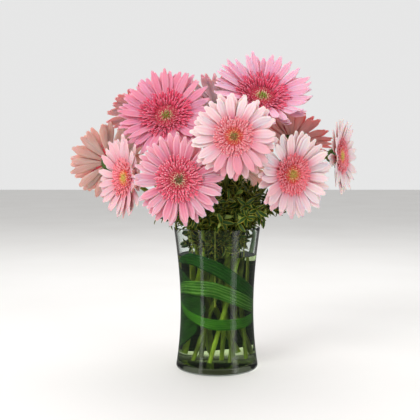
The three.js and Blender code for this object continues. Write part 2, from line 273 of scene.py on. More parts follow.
def smoothLine(tree, mesh):
    line = tree.add("GeometryNodeMeshToCurve", None, {"Mesh": mesh})
    return tree.add("GeometryNodeCurveSplineType", {"spline_type": "CATMULL_ROM"}, {"Curve": line})


# Petals, bracts and short florets: blades set in a ring round a head's axis.
def makeWhorlTree():
    inputs = {"Count": 20, "Seed": 1, "Along": 12, "Across": 7, "Root": 10.0, "Tip": 60.0, "Lift": 0.0,
              "Width": 12.0, "RootShare": 0.4, "Widest": 0.6, "TipFrom": 0.7, "TipShare": 0.4,
              "Thickness": 0.7, "Rise": 0.1, "RiseVary": 0.05, "Bow": 0.02, "Curl": 0.0, "CurlVary": 0.2,
              "CurlFrom": 0.75, "LeanAngle": 0.0, "LeanCurl": 0.0, "LeanRise": 0.0, "Twist": 0.1,
              "Sway": 0.05, "LengthVary": 0.08, "AngleVary": 0.3, "Phase": 0.0, "Pleat": 0.5, "Hollow": 0.0,
              "Notch": 0.03, "FlushAndShade": 0.0, "PaintedShadeSide": 0.0, "PaintedShadeAngle": 0.0, "Fade": 0.0, "Material": ""}
    group, tree, v = startGeometryTree("whorl", inputs)
    blades = setOn(tree, numberedSeats(tree, v["Count"]), bladeGrid(tree, v["Along"], v["Across"]))
    along, across, side, petal = readBlade(tree)
    chance = chances(tree, petal, v["Seed"], 17, 7)
    swing = [2.0 * c - 1.0 for c in chance]
    angle = (petal + v["Phase"] + v["AngleVary"] * swing[0] * 0.5) * (2 * math.pi) / v["Count"]
    leaning = (angle - v["LeanAngle"]).cos().most(0.0)
    length = (v["Tip"] - v["Root"]) * (1.0 - v["LengthVary"] * chance[1])
    swell = v["RootShare"] + (1.0 - v["RootShare"]) * along.smooth(0.0, v["Widest"])
    taper = along.smooth(v["TipFrom"], 1.0, 1.0, v["TipShare"])
    halfWidth = v["Width"] * 0.5 * (1.0 - 0.16 * chance[2]) * swell * taper
    groove = 0.5 - 0.5 * (across * (3 * math.pi)).cos()
    tipward = along.smooth(0.7, 1.0)
    reach = along - tipward * (v["Notch"] * groove + 0.035 * across * across)
    bent = v["Curl"] + v["CurlVary"] * swing[3] + v["LeanCurl"] * leaning * leaning
    curlLength = (1.0 - v["CurlFrom"]) * length
    bend = bent / curlLength + 1e-4
    straight = reach.least(v["CurlFrom"]) * length
    rolled = (reach - v["CurlFrom"]).most(0.0) * length * bend
    outward = straight + rolled.sin() / bend
    proud = (1.0 - rolled.cos()) / bend
    middle = (along * math.pi).sin()
    proud = proud + v["Bow"] * length * middle
    sideways = across * halfWidth
    pleats = v["Pleat"] * groove * (along * (math.pi * 0.86)).sin()
    proud = proud - pleats + v["Hollow"] * across * across * halfWidth
    edge = 1.0 - 0.6 * across * across
    proud = proud + side * v["Thickness"] * 0.5 * edge
    turn = v["Twist"] * (0.35 + swing[4]) * (0.3 + along)
    proud = proud + sideways * turn.sin()
    sideways = sideways * turn.cos() + v["Sway"] * swing[5] * length * along * along
    rise = v["Rise"] + v["RiseVary"] * swing[6] + v["LeanRise"] * leaning
    radius = v["Root"] + outward * rise.cos() - proud * rise.sin()
    height = v["Lift"] + outward * rise.sin() + proud * rise.cos()
    blades = moved(tree, blades, roundAxis(tree, angle, radius, sideways, height))
    blades = store(tree, blades, "chance", chance[2])
    # painted shade: petals on one side of the head, round the given angle, are made a deeper pink, on top of
    # each head's flush, which is itself partly painted shade
    flush = v["FlushAndShade"] + v["PaintedShadeSide"] * (angle - v["PaintedShadeAngle"]).cos().most(0.0)
    blades = store(tree, blades, "flush", flush * (0.5 + chance[6]))
    blades = store(tree, blades, "fade", v["Fade"])
    endGeometryTree(group, tree, blades, v["Material"])
    return group


# Buds of the eye: small closed florets packed in a golden spiral, pointing up and a little outward.
def makeEyeTree():
    inputs = {"Count": 140, "Seed": 1, "Radius": 14.0, "Bud": 1.0, "Tall": 2.4, "Dome": 3.0, "Lift": 3.0,
              "Spread": 0.5, "Ragged": 0.3, "Material": ""}
    group, tree, v = startGeometryTree("eye", inputs)
    ball = tree.add("GeometryNodeMeshIcoSphere", None, {"Radius": 1.0, "Subdivisions": 1}, "Mesh")
    ball = store(tree, ball, "bud", tree.add("GeometryNodeInputPosition"), vector=True)
    buds = setOn(tree, numberedSeats(tree, v["Count"]), ball)
    petal = recall(tree, "petal")
    shape = tree.add("ShaderNodeSeparateXYZ", None, {0: recall(tree, "bud", vector=True)})
    chance = chances(tree, petal, v["Seed"], 13, 4)
    share = (petal + 0.5) / v["Count"]
    radius = (v["Radius"] * v["Radius"] * share) ** 0.5
    angle = petal * goldenAngle + v["Ragged"] * chance[0]
    reach = radius / v["Radius"]
    lean = reach * v["Spread"] + v["Ragged"] * 0.5 * (chance[1] - 0.5)
    size = v["Bud"] * (0.8 + 0.4 * chance[2])
    up = shape.output("Z") * v["Tall"] * (0.8 + 0.5 * chance[3])
    slim = 1.0 - 0.35 * shape.output("Z")
    out = shape.output("X") * size * slim
    across = shape.output("Y") * size * slim
    outward = radius + out * lean.cos() + up * lean.sin()
    height = v["Lift"] + v["Dome"] * (1.0 - reach * reach) + up * lean.cos() - out * lean.sin()
    buds = moved(tree, buds, roundAxis(tree, angle, outward, across, height))
    buds = store(tree, buds, "along", reach)
    buds = store(tree, buds, "across", shape.output("Z"))
    buds = store(tree, buds, "chance", chance[2])
    endGeometryTree(group, tree, buds, v["Material"])
    return group


# Stems and twigs: a ribbed tube along a line of points.
def makeStalkTree():
    inputs = {"Radius": 3.0, "EndRadius": 3.0, "Sides": 12, "Spacing": 3.0, "Rib": 0.12, "Uneven": 0.1,
              "Tint": 0.5, "Material": ""}
    group, tree, v = startGeometryTree("stalk", inputs)
    line = smoothLine(tree, v["Geometry"])
    line = tree.add("GeometryNodeResampleCurve", {"mode": "LENGTH"}, {"Curve": line, "Length": v["Spacing"]})
    share = tree.add("GeometryNodeSplineParameter", None, None, "Factor")
    wobble = tree.add("ShaderNodeTexNoise", {"noise_dimensions": "3D"},
                      {"Vector": tree.add("GeometryNodeInputPosition"), "Scale": 0.045, "Detail": 2.0})
    girth = v["Radius"] + (v["EndRadius"] - v["Radius"]) * share
    girth = girth * (1.0 + v["Uneven"] * (wobble - 0.5) * 2.0)
    line = tree.add("GeometryNodeSetCurveRadius", None, {"Curve": line, "Radius": girth})
    line = store(tree, line, "along", share)
    ring = tree.add("GeometryNodeCurvePrimitiveCircle", {"mode": "RADIUS"},
                    {"Resolution": v["Sides"], "Radius": 1.0}, "Curve")
    place = tree.add("GeometryNodeInputPosition")
    index = tree.add("GeometryNodeInputIndex")
    parity = tree.add("ShaderNodeMath", {"operation": "MODULO"}, {0: index, 1: 2.0})
    ring = store(tree, ring, "across", parity)
    ring = moved(tree, ring, place * (1.0 - v["Rib"] * parity))
    thick = tree.add("GeometryNodeInputRadius")
    tube = tree.add("GeometryNodeCurveToMesh", None,
                    {"Curve": line, "Profile Curve": ring, "Scale": thick, "Fill Caps": True})
    tube = store(tree, tube, "chance", v["Tint"])
    endGeometryTree(group, tree, tube, v["Material"])
    return group


# Foliage: small leaves set round lines of twig in a spiral.
def makeLeafTree():
    inputs = {"Seed": 1, "Spacing": 4.0, "Length": 15.0, "Width": 7.0, "Thickness": 0.5, "Fold": 0.35,
              "Arch": 0.35, "Open": 0.9, "Material": ""}
    group, tree, v = startGeometryTree("leaves", inputs)
    seats = tree.add("GeometryNodeCurveToPoints", {"mode": "LENGTH"},
                     {"Curve": smoothLine(tree, v["Geometry"]), "Length": v["Spacing"]}, "Points")
    place = tree.add("GeometryNodeInputPosition")
    frames = (("seat", place), ("growing", seats.output("Tangent")), ("aside", seats.output("Normal")))
    seats = store(tree, seats, "petal", tree.add("GeometryNodeInputIndex"))
    for name, value in frames:
        seats = store(tree, seats, name, value, vector=True)
    leaves = setOn(tree, seats, bladeGrid(tree, 5, 3))
    along, across, side, petal = readBlade(tree)
    seat, growing, aside = (recall(tree, n, True) for n in ("seat", "growing", "aside"))
    chance = chances(tree, petal, v["Seed"], 19, 6)
    swing = [2.0 * c - 1.0 for c in chance]
    other = tree.cross(growing, aside)
    spin = petal * goldenAngle + swing[0] * 0.4
    away = aside * spin.cos() + other * spin.sin()
    openness = v["Open"] + 0.3 * swing[1]
    out = growing * openness.cos() + away * openness.sin()
    up = growing * openness.sin() - away * openness.cos()
    roll = swing[2] * 0.5
    lateral = tree.cross(up, out)
    lateral, up = lateral * roll.cos() + up * roll.sin(), up * roll.cos() - lateral * roll.sin()
    size = 0.7 + 0.45 * chance[3]
    length = v["Length"] * size
    body = along * (math.pi * 0.94) + 0.12
    halfWidth = v["Width"] * 0.5 * size * (body.sin().most(0.03) ** 0.7)
    x = along * length
    arch = v["Arch"] * (0.6 + 0.8 * chance[4])
    z = side * v["Thickness"] * 0.5 * (1.0 - 0.5 * across * across) - arch * length * along * along * 0.5
    z = z + across.abs() * halfWidth * v["Fold"]
    place = seat + out * x + lateral * (across * halfWidth) + up * z
    leaves = store(tree, moved(tree, leaves, place), "chance", chance[5])
    endGeometryTree(group, tree, leaves, v["Material"])
    return group


whorlTree = makeWhorlTree()
eyeTree = makeEyeTree()
stalkTree = makeStalkTree()
leafTree = makeLeafTree()
print("geometry trees ready")


# ---- reading the frame
def corners(name):                               # a CAD node's different corners, in millimetres
    points = np.array([v.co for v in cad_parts[name].data.vertices]) / millimetre
    return np.unique(np.round(points, 2), axis=0)


def ringCentres(points, reach):                  # centres of the rings that make a tube, from the lowest up
    left = list(points)
    centres = []
    while left:
        near = [p for p in left if np.linalg.norm(p - left[0]) < reach]
        left = [p for p in left if np.linalg.norm(p - left[0]) >= reach]
        centres.append(np.mean(near, axis=0))
    centres.sort(key=lambda c: c[2])
    line = [centres.pop(0)]
    while centres:
        nearest = min(range(len(centres)), key=lambda k: np.linalg.norm(centres[k] - line[-1]))
        line.append(centres.pop(nearest))
    return line


class Head:                                      # where one gerbera's head is held and how big it is
    def __init__(self, name):
        florets = corners(f"gerbera_{name}_ray_florets")
        calyx = corners(f"gerbera_{name}_calyx").mean(0)
        disc = corners(f"gerbera_{name}_disc").mean(0)
        self.axis = Vector(disc - calyx).normalized()
        heights = (florets - calyx) @ np.array(self.axis)
        self.eye = Vector(calyx) + self.axis * float(heights.min())
        offsets = florets - np.array(self.eye)
        along = offsets @ np.array(self.axis)
        self.radius = float(np.linalg.norm(offsets - np.outer(along, self.axis), axis=1).max())
        self.cup = float(along.max()) - 1.2
        right = Vector((0, 0, 1)).cross(self.axis).normalized()
        up = self.axis.cross(right)
        turn = Matrix((right, up, self.axis)).transposed().to_4x4()
        self.placement = inMillimetres @ Matrix.Translation(self.eye) @ turn


def gather(name, meshes, placement, node):   # grown meshes joined into one finished piece
    joined = bmesh.new()
    used = []
    for mesh in meshes:
        mesh.transform(placement)
        offset = len(used)
        used.extend(mesh.materials)
        first = len(joined.faces)
        joined.from_mesh(mesh)
        joined.faces.ensure_lookup_table()
        for face in joined.faces[first:]:
            face.material_index += offset
        bpy.data.meshes.remove(mesh)
    result = bpy.data.meshes.new(name)
    joined.to_mesh(result)
    joined.free()
    distinct = list(dict.fromkeys(used))
    lookup = [distinct.index(m) for m in used]
    for polygon in result.polygons:
        polygon.material_index = lookup[polygon.material_index]
    for material in distinct:
        result.materials.append(material)
    piece = bpy.data.objects.new(name, result)
    bpy.context.scene.collection.objects.link(piece)
    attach(piece, "root")
    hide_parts(node)
    return piece


def meshOf(name, points, faces, material, attributes=None):
    mesh = bpy.data.meshes.new(name)
    mesh.from_pydata([tuple(p) for p in points], [], faces)
    mesh.polygons.foreach_set("use_smooth", [True] * len(mesh.polygons))
    mesh.materials.append(material)
    for key, values in (attributes or {}).items():
        attribute = mesh.attributes.new(key, "FLOAT", "POINT")
        attribute.data.foreach_set("value", np.asarray(values, np.float32))
    mesh.update()
    return mesh


def lineMesh(lines):                             # edges along lines of points, for the geometry trees
    points, edges = [], []
    for line in lines:
        start = len(points)
        points += [tuple(p) for p in line]
        edges += [(start + k, start + k + 1) for k in range(len(line) - 1)]
    mesh = bpy.data.meshes.new("lines")
    mesh.from_pydata(points, edges, [])
    return mesh


def turned(name, profile, segments, material):   # a turned solid; its profile starts and ends on the axis
    points, faces = [(0, 0, profile[0][1]), (0, 0, profile[-1][1])], []
    rings = profile[1:-1]
    turns = [math.tau * k / segments for k in range(segments)]
    for radius, height in rings:
        points += [(radius * math.cos(turn), radius * math.sin(turn), height) for turn in turns]
    for k in range(segments):
        after = (k + 1) % segments
        faces.append((0, 2 + after, 2 + k))
        for r in range(len(rings) - 1):
            low, high = 2 + r * segments, 2 + (r + 1) * segments
            faces.append((low + k, low + after, high + after, high + k))
        last = 2 + (len(rings) - 1) * segments
        faces.append((1, last + k, last + after))
    return meshOf(name, points, faces, material)


# A closed slab from two sheets of points, count rows of wide points each: the front sheet, then the back one.
def slab(name, grid, count, wide, material, marks):
    back = count * wide
    faces, rim = [], []
    for k in range(count - 1):
        for j in range(wide - 1):
            a, b = k * wide + j, k * wide + j + 1
            faces += [(a, b, b + wide, a + wide), (back + a + wide, back + b + wide, back + b, back + a)]
        rim += [(k * wide + j, (k + 1) * wide + j) for j in (0, wide - 1)]
    rim += [(k * wide + j, k * wide + j + 1) for k in (0, count - 1) for j in range(wide - 1)]
    faces += [(a, b, back + b, back + a) for a, b in rim]
    mesh = meshOf(name, grid, faces, material, marks)
    shell = bmesh.new()
    shell.from_mesh(mesh)
    bmesh.ops.recalc_face_normals(shell, faces=shell.faces)
    shell.to_mesh(mesh)
    shell.free()
    return mesh


# ---- materials
class Finish(Tree):                              # a principled material and the fields that its pattern reads
    def __init__(self, name, **uniform):
        self.material = bpy.data.materials.new(name)
        self.material.use_nodes = True
        super().__init__(self.material.node_tree)
        self.shader = self.nodes["Principled BSDF"]
        for key, value in uniform.items():
            self.shader.inputs[key.replace("_", " ")].default_value = value

    def read(self, name):
        return self.add("ShaderNodeAttribute", {"attribute_name": name}, None, "Fac")

    def place(self):
        return self.add("ShaderNodeTexCoord", None, None, "Object")

    def noise(self, vector, scale, detail=3.0, roughness=0.5):
        return self.add("ShaderNodeTexNoise", None,
                        {"Vector": vector, "Scale": scale, "Detail": detail, "Roughness": roughness})

    def finish(self, colour, roughness=None, height=None, bumpStrength=0.3, bumpDistance=0.0005):
        self.links.new(colour.socket, self.shader.inputs["Base Color"])
        if roughness is not None:
            self.links.new(roughness.socket, self.shader.inputs["Roughness"])
        if height is not None:
            bump = self.add("ShaderNodeBump", None,
                            {"Height": height, "Strength": bumpStrength, "Distance": bumpDistance})
            self.links.new(bump.socket, self.shader.inputs["Normal"])
        return self.material


petalLooks = {                                   # upper side from root to tip, underside, veins with painted shade in the grooves, pale edge
    "orchid": dict(root=(204, 50, 94), middle=(233, 128, 164), tip=(245, 168, 196), back=(248, 168, 172),
                   veinAndGrooveShade=(204, 62, 106), pale=(252, 206, 222), veinAndShadeShare=0.5, rootTo=0.2, middleAt=0.52),
    "pink": dict(root=(208, 66, 100), middle=(234, 132, 156), tip=(245, 174, 190), back=(244, 152, 146),
                 veinAndGrooveShade=(204, 70, 104), pale=(252, 212, 220), veinAndShadeShare=0.5, rootTo=0.24, middleAt=0.56),
    "blush": dict(root=(232, 112, 134), middle=(247, 202, 208), tip=(253, 226, 227), back=(214, 160, 146),
                  veinAndGrooveShade=(228, 138, 154), pale=(255, 236, 235), veinAndShadeShare=0.4, rootTo=0.33, middleAt=0.61),
}
petalTones = ("root", "middle", "tip", "back", "veinAndGrooveShade", "pale")


def petalMaterial(kind):
    look = {key: tone(*value) if key in petalTones else value for key, value in petalLooks[kind].items()}
    finish = Finish(f"petal {kind}", Roughness=0.5, Sheen_Weight=0.25, Sheen_Roughness=0.4,
                    Subsurface_Weight=0.35, Subsurface_Scale=0.006, Specular_IOR_Level=0.35)
    along, across, side, chance = (finish.read(n) for n in ("along", "across", "side", "chance"))
    surface = along.ramp((0.0, look["root"]), (look["rootTo"], look["root"]),
                         (look["middleAt"], look["middle"]), (0.94, look["tip"]), (1.0, look["pale"]))
    drawn = finish.vector(across * 5.0 + chance * 37.0, along * 1.1, chance * 9.0)
    strands = finish.noise(drawn, 2.4, 4.0, 0.65)
    # painted shade: the pleat grooves are painted toward the darker vein pink, on top of the real vein
    # strands
    grooves = 0.5 - 0.5 * (across * (3 * math.pi)).cos()
    veinsAndGrooveShade = (strands.smooth(0.42, 0.72) * 0.7 + grooves * 0.45) * (1.0 - along * 0.55)
    surface = finish.mix(veinsAndGrooveShade * look["veinAndShadeShare"] * 1.6, surface, look["veinAndGrooveShade"])
    surface = finish.mix(chance.smooth(0.4, 1.0) * 0.25, surface, look["pale"])
    margin = across.abs().smooth(0.5, 1.0) * along.smooth(0.15, 0.5) * (0.22 + chance * 0.36)
    surface = finish.mix(margin, surface, look["pale"])
    # a deeper pink that is partly the head's own flush and partly painted shade on its shadowed side
    surface = finish.mix(finish.read("flush"), surface, tone(232, 128, 148))
    surface = finish.mix(finish.read("fade") * along.smooth(0.3, 0.7), surface, look["pale"])
    under = finish.mix(strands.smooth(0.35, 0.75) * 0.5, look["back"], look["tip"])
    # painted shade: the underside turns brownish toward the root, where the head shades it
    under = finish.mix(along.smooth(0.5, 0.0) * 0.4, under, tone(196, 130, 108))
    under = finish.mix(finish.read("fade") * 0.8, under, look["pale"])
    colour = finish.mix(side.smooth(-0.3, 0.1, 1.0, 0.0), surface, under)
    height = strands * 0.7 - grooves * 0.3
    return finish.finish(colour, 0.44 + strands * 0.2, height, 0.34, 0.0006)


floretLooks = {                                  # short florets, then the eye from its middle out
    "orchid": dict(base=(190, 14, 54), shaft=(232, 54, 96), tip=(248, 158, 184),
                   eye=[(0.0, (158, 184, 70)), (0.28, (140, 158, 58)), (0.42, (232, 206, 160)),
                        (0.6, (204, 56, 84)), (1.0, (184, 28, 66))]),
    "pink": dict(base=(196, 18, 58), shaft=(240, 74, 108), tip=(252, 190, 202),
                 eye=[(0.0, (134, 150, 58)), (0.28, (92, 92, 40)), (0.42, (238, 212, 170)),
                      (0.6, (214, 70, 84)), (1.0, (200, 48, 80))]),
    "blush": dict(base=(224, 60, 74), shaft=(244, 118, 132), tip=(251, 206, 208),
                  eye=[(0.0, (186, 168, 84)), (0.24, (152, 134, 58)), (0.38, (236, 168, 96)),
                       (0.6, (232, 92, 60)), (1.0, (214, 76, 72))]),
    "coral": dict(base=(236, 56, 78), shaft=(252, 108, 124), tip=(250, 188, 192),
                  eye=[(0.0, (220, 200, 104)), (0.3, (206, 176, 78)), (0.44, (240, 168, 96)),
                       (0.66, (232, 104, 70)), (1.0, (216, 70, 80))]),
}


def floretMaterial(kind):
    look = floretLooks[kind]
    finish = Finish(f"floret {kind}", Roughness=0.55, Sheen_Weight=0.15, Subsurface_Weight=0.12,
                    Subsurface_Scale=0.002, Specular_IOR_Level=0.35)
    along, across, chance = (finish.read(n) for n in ("along", "across", "chance"))
    base, shaft, tip = (tone(*look[part]) for part in ("base", "shaft", "tip"))
    colour = along.ramp((0.0, base), (0.5, shaft), (0.82, shaft), (1.0, tip))
    strands = finish.noise(finish.vector(across * 2.0 + chance * 31.0, along * 1.4, chance * 5.0), 3.0, 2.0)
    colour = finish.mix(strands.smooth(0.35, 0.75) * 0.28, colour, tip)
    colour = finish.mix(chance.smooth(0.55, 1.0) * 0.25, colour, tip)
    return finish.finish(colour, 0.45 + strands * 0.25, strands, 0.4, 0.0004)


def eyeMaterial(kind):
    stops = [(position, tone(*shade)) for position, shade in floretLooks[kind]["eye"]]
    finish = Finish(f"eye {kind}", Roughness=0.6, Sheen_Weight=0.1, Specular_IOR_Level=0.3)
    along, across, chance = (finish.read(n) for n in ("along", "across", "chance"))
    colour = (along + (chance - 0.5) * 0.16).ramp(*stops)
    pale = across.smooth(0.0, 1.0) * chance.smooth(0.3, 1.0) * along.smooth(0.2, 0.45, 0.15, 0.65)
    colour = finish.mix(pale, colour, tone(250, 226, 204))
    grain = finish.noise(finish.place(), 1400.0, 2.0)
    return finish.finish(colour, 0.45 + grain * 0.3, grain, 0.4, 0.0003)


def greenMaterial(name, dark, light, edge=None, edgeFrom=0.7, roughness=0.45, grainScale=90.0, ribs=0.0,
                  ribCount=5, coat=0.0, streak=14.0, paleShare=0.0, shine=0.4, tinted=0.3):
    finish = Finish(name, Roughness=roughness, Subsurface_Weight=0.06, Subsurface_Scale=0.002,
                    Coat_Weight=coat, Coat_Roughness=0.25, Specular_IOR_Level=shine)
    along, across, chance = (finish.read(n) for n in ("along", "across", "chance"))
    mottle = finish.noise(finish.place(), grainScale, 4.0, 0.6)
    strands = finish.noise(finish.vector(across * streak, along * 2.0, chance * 11.0), 1.6, 3.0, 0.6)
    amount = mottle.smooth(0.3, 0.7) * 0.4 + strands.smooth(0.3, 0.7) * 0.35 + chance * tinted - tinted * 0.3
    colour = finish.mix(amount, tone(*dark), tone(*light))
    height = mottle * 0.4 + strands * 0.6
    if ribs:
        drift = finish.noise(finish.vector(across * 1.7, along * 0.6, ribCount), 1.3, 1.0)
        rib = 0.5 + 0.5 * (across * (math.pi * ribCount) + drift * 7.0).cos()
        shown = rib.smooth(0.2, 1.0) * strands.smooth(0.2, 0.7) * ribs
        colour = finish.mix(shown, colour, tone(112, 156, 78))
        height = height + rib * 1.2
    if edge:
        margin = across.abs().smooth(edgeFrom, 1.0) * (0.4 + chance * 0.6)
        colour = finish.mix(margin, colour, tone(*edge))
    if paleShare:
        colour = finish.mix(chance.smooth(1.0 - paleShare, 1.0), colour, tone(150, 170, 84))
    return finish.finish(colour, roughness - 0.08 + mottle * 0.2, height, 0.35, 0.0005)


def glassMaterial(name, tint, bending):
    finish = Finish(name, Roughness=0.0, IOR=bending, Transmission_Weight=1.0)
    smears = finish.noise(finish.place(), 14.0, 1.0, 0.5)
    colour = finish.mix(smears * 0.5, tint, tuple(min(1.0, c * 1.03) for c in tint))
    return finish.finish(colour, smears.smooth(0.55, 0.8) * 0.02, smears, 0.01, 0.0002)


materials = {f"petal {kind}": petalMaterial(kind) for kind in petalLooks}
for kind in floretLooks:
    materials[f"floret {kind}"] = floretMaterial(kind)
    materials[f"eye {kind}"] = eyeMaterial(kind)
greens = {                                       # the dark and the light of each green, and how it is marked
    "calyx": dict(dark=(34, 66, 26), light=(96, 134, 58), edge=(150, 170, 96), roughness=0.6),
    "stem": dict(dark=(52, 60, 14), light=(146, 172, 42), grainScale=40.0, streak=6.0, tinted=0.8),
    "twig": dict(dark=(108, 128, 40), light=(158, 160, 66), roughness=0.5),
    "leaf": dict(dark=(20, 44, 10), light=(54, 92, 24), edge=(178, 176, 60), edgeFrom=0.62, roughness=0.42,
                 coat=0.05, paleShare=0.05, shine=0.3),
    "strap": dict(dark=(6, 46, 8), light=(26, 90, 22), roughness=0.4, ribs=0.14, shine=0.08),
    "ribbed strap": dict(dark=(30, 74, 18), light=(70, 122, 40), roughness=0.42, ribs=0.75, shine=0.08),
    "bright strap": dict(dark=(18, 72, 4), light=(62, 126, 12), roughness=0.4, ribs=0.3, shine=0.08),
    "lining leaf": dict(dark=(8, 40, 8), light=(26, 74, 18), roughness=0.5, ribs=0.1, ribCount=25,
                        shine=0.08),
    "grass": dict(dark=(96, 124, 90), light=(142, 166, 128), roughness=0.5),
}
for name, look in greens.items():
    materials[name] = greenMaterial(name, **look)
materials["glass"] = glassMaterial("clear glass", tone(246, 251, 248), 1.45)
materials["water"] = glassMaterial("water", tone(224, 240, 184), 1.333)
print("materials ready")


# ---- heads
layerShapes = {                                  # petals of each variety, in layers from back to front
    "orchid": [dict(Count=29, Width=11.4, Reach=1.02, Lift=-0.4, Rise=0.0, TipShare=0.42),
               dict(Count=28, Width=10.8, Reach=0.99, Lift=1.6, Rise=0.07, TipShare=0.42)],
    "pink": [dict(Count=25, Width=12.4, Reach=1.02, Lift=-0.4, Rise=0.0, TipShare=0.42),
             dict(Count=24, Width=11.8, Reach=0.97, Lift=1.7, Rise=0.07, TipShare=0.42)],
    "blush": [dict(Count=20, Width=14.4, Reach=1.02, Lift=-0.4, Rise=0.0, TipShare=0.48),
              dict(Count=20, Width=14.0, Reach=0.96, Lift=1.8, Rise=0.08, TipShare=0.48)],
}
petalShape = dict(Along=14, Across=7, RootShare=0.3, Widest=0.66, TipFrom=0.78, Thickness=0.75,
                  RiseVary=0.085, Bow=0.02, CurlFrom=0.7, CurlVary=0.3, Twist=0.2, Sway=0.06, LengthVary=0.09,
                  AngleVary=0.6, Pleat=0.9, Hollow=0.12, Notch=0.03)
floretRows = [                                   # root and length as shares of the head, from the outside in
    dict(Count=52, Root=0.38, Length=0.20, Lift=2.2, Rise=0.12),
    dict(Count=50, Root=0.345, Length=0.20, Lift=2.7, Rise=0.2),
    dict(Count=46, Root=0.31, Length=0.185, Lift=3.1, Rise=0.3),
    dict(Count=42, Root=0.275, Length=0.17, Lift=3.4, Rise=0.42),
    dict(Count=36, Root=0.24, Length=0.155, Lift=3.7, Rise=0.56),
    dict(Count=30, Root=0.21, Length=0.14, Lift=4.0, Rise=0.72),
]
floretSpread = {"orchid": 1.12, "pink": 1.0, "blush": 0.92, "coral": 0.92}
floretShape = dict(Along=5, Across=3, RiseVary=0.24, Width=2.7, RootShare=0.45, Widest=0.7, TipFrom=0.8,
                   TipShare=0.6, Thickness=0.6, Bow=0.05, Curl=-0.1, CurlVary=0.6, CurlFrom=0.5, Twist=0.5,
                   Sway=0.12, LengthVary=0.3, AngleVary=0.8, Pleat=0.0, Hollow=0.4, Notch=0.12)
eyeShape = dict(Count=170, Bud=0.95, Tall=2.3, Dome=2.2, Lift=4.2, Spread=0.6, Ragged=0.35)
bractRows = [dict(Count=21, Root=7.0, Tip=24.0, Lift=-15.0, Rise=0.95),
             dict(Count=17, Root=6.0, Tip=20.0, Lift=-16.0, Rise=0.85),
             dict(Count=13, Root=5.0, Tip=15.0, Lift=-16.5, Rise=0.7)]
bractShape = dict(Along=7, Across=3, Width=4.4, RootShare=0.8, Widest=0.3, TipFrom=0.25, TipShare=0.06,
                  Thickness=0.9, Bow=0.12, RiseVary=0.12, Curl=-0.5, CurlVary=0.4, CurlFrom=0.6, Twist=0.1,
                  Sway=0.04, LengthVary=0.3, AngleVary=0.4, Pleat=0.0, Hollow=-0.3, Notch=0.0)
calyxCup = [(0.0, -18.0), (3.6, -18.0), (5.6, -16.5), (8.0, -13.0), (10.0, -9.0), (11.6, -5.0), (13.0, -1.2),
            (12.0, 0.3), (0.0, 0.3)]
stemShape = dict(Radius=2.9, EndRadius=3.3, Sides=16, Spacing=4.0, Rib=0.06, Uneven=0.09)
headShape = dict(root=11.0, usualRadius=62, eyeShare=0.245, domeShare=0.4, domeSteps=8, domeTall=3.0,
                 stemTop=-17.0, sides=24)
heads = {                                        # what sets each gerbera apart
    # the flush value deepens a head's pink and is partly painted shade; the side value and its angle paint
    # shade on one side of the head
    "front_left": dict(petals="pink", florets="pink", slot="petal_pink", flush=0.0),
    "centre": dict(petals="blush", florets="blush", slot="petal_blush", flush=0.05, paintedShadeSide=0.55,
                   paintedShadeAngle=-75),
    "front_right": dict(petals="blush", florets="coral", slot="petal_blush", flush=0.04, fade=0.1,
                        paintedShadeSide=0.35, paintedShadeAngle=-130, lean=165, leanCurl=0.45, leanRise=0.0),
    "top_left": dict(petals="orchid", florets="orchid", slot="petal_orchid", flush=0.4),
    "top_right": dict(petals="orchid", florets="orchid", slot="petal_orchid", flush=0.0, fade=0.3, lean=-40,
                      leanCurl=0.9),
    "left": dict(petals="blush", florets="coral", slot="petal_blush", flush=0.36, lean=0, leanCurl=1.0,
                 leanRise=0.15),
    "far_left": dict(petals="blush", florets="coral", slot="petal_blush", flush=0.2),
    "far_right": dict(petals="blush", florets="coral", slot="petal_blush", flush=0.1, fade=0.4),
    "back_right": dict(petals="pink", florets="pink", slot="petal_pink", flush=0.0),
    "back_left": dict(petals="pink", florets="pink", slot="petal_pink", flush=0.0, fade=0.25),
    "back_top": dict(petals="orchid", florets="orchid", slot="petal_orchid", flush=0.0, fade=0.8),
    "back_low": dict(petals="blush", florets="coral", slot="petal_blush", flush=0.2),
}


def growPetals(head, look, seed, cupRise):
    root = headShape["root"]
    ways = dict(Root=root, LeanAngle=math.radians(look.get("lean", 0)), LeanCurl=look.get("leanCurl", 0.0),
                LeanRise=look.get("leanRise", 0.0), FlushAndShade=look["flush"], PaintedShadeSide=look.get("paintedShadeSide", 0.0),
                PaintedShadeAngle=math.radians(look.get("paintedShadeAngle", 0)), Fade=look.get("fade", 0.0))
    layers = []
    for layer, shape in enumerate(layerShapes[look["petals"]]):
        rise = cupRise + shape["Rise"]
        layers.append(grow(whorlTree, {
            **petalShape, **ways, **shape, "Seed": seed + 101 * layer, "Rise": rise,
            "Tip": root + (head.radius * shape["Reach"] - root) / math.cos(rise) + 1.5,
            "Curl": -0.1 + 0.1 * layer, "Width": shape["Width"] * head.radius / headShape["usualRadius"],
            "Phase": 0.5 * layer}, materials["petal " + look["petals"]]))
    return layers


def domeProfile(root, radius, cupRise):          # a cushion under the florets, clear above the petals
    slope = math.tan(cupRise + 0.11)
    profile = [(0.0, 0.8), (root, 1.0), (radius, 1.6 + (radius - root) * slope)]
    for k in range(headShape["domeSteps"]):
        share = k / headShape["domeSteps"]
        out = radius * math.cos(math.pi / 2 * share)
        tall = headShape["domeTall"] * math.sin(math.pi / 2 * share)
        profile.append((out, 2.2 + (out - root) * slope * (1 - share) + tall))
    return profile + [(0.0, 2.2 + headShape["domeTall"])]


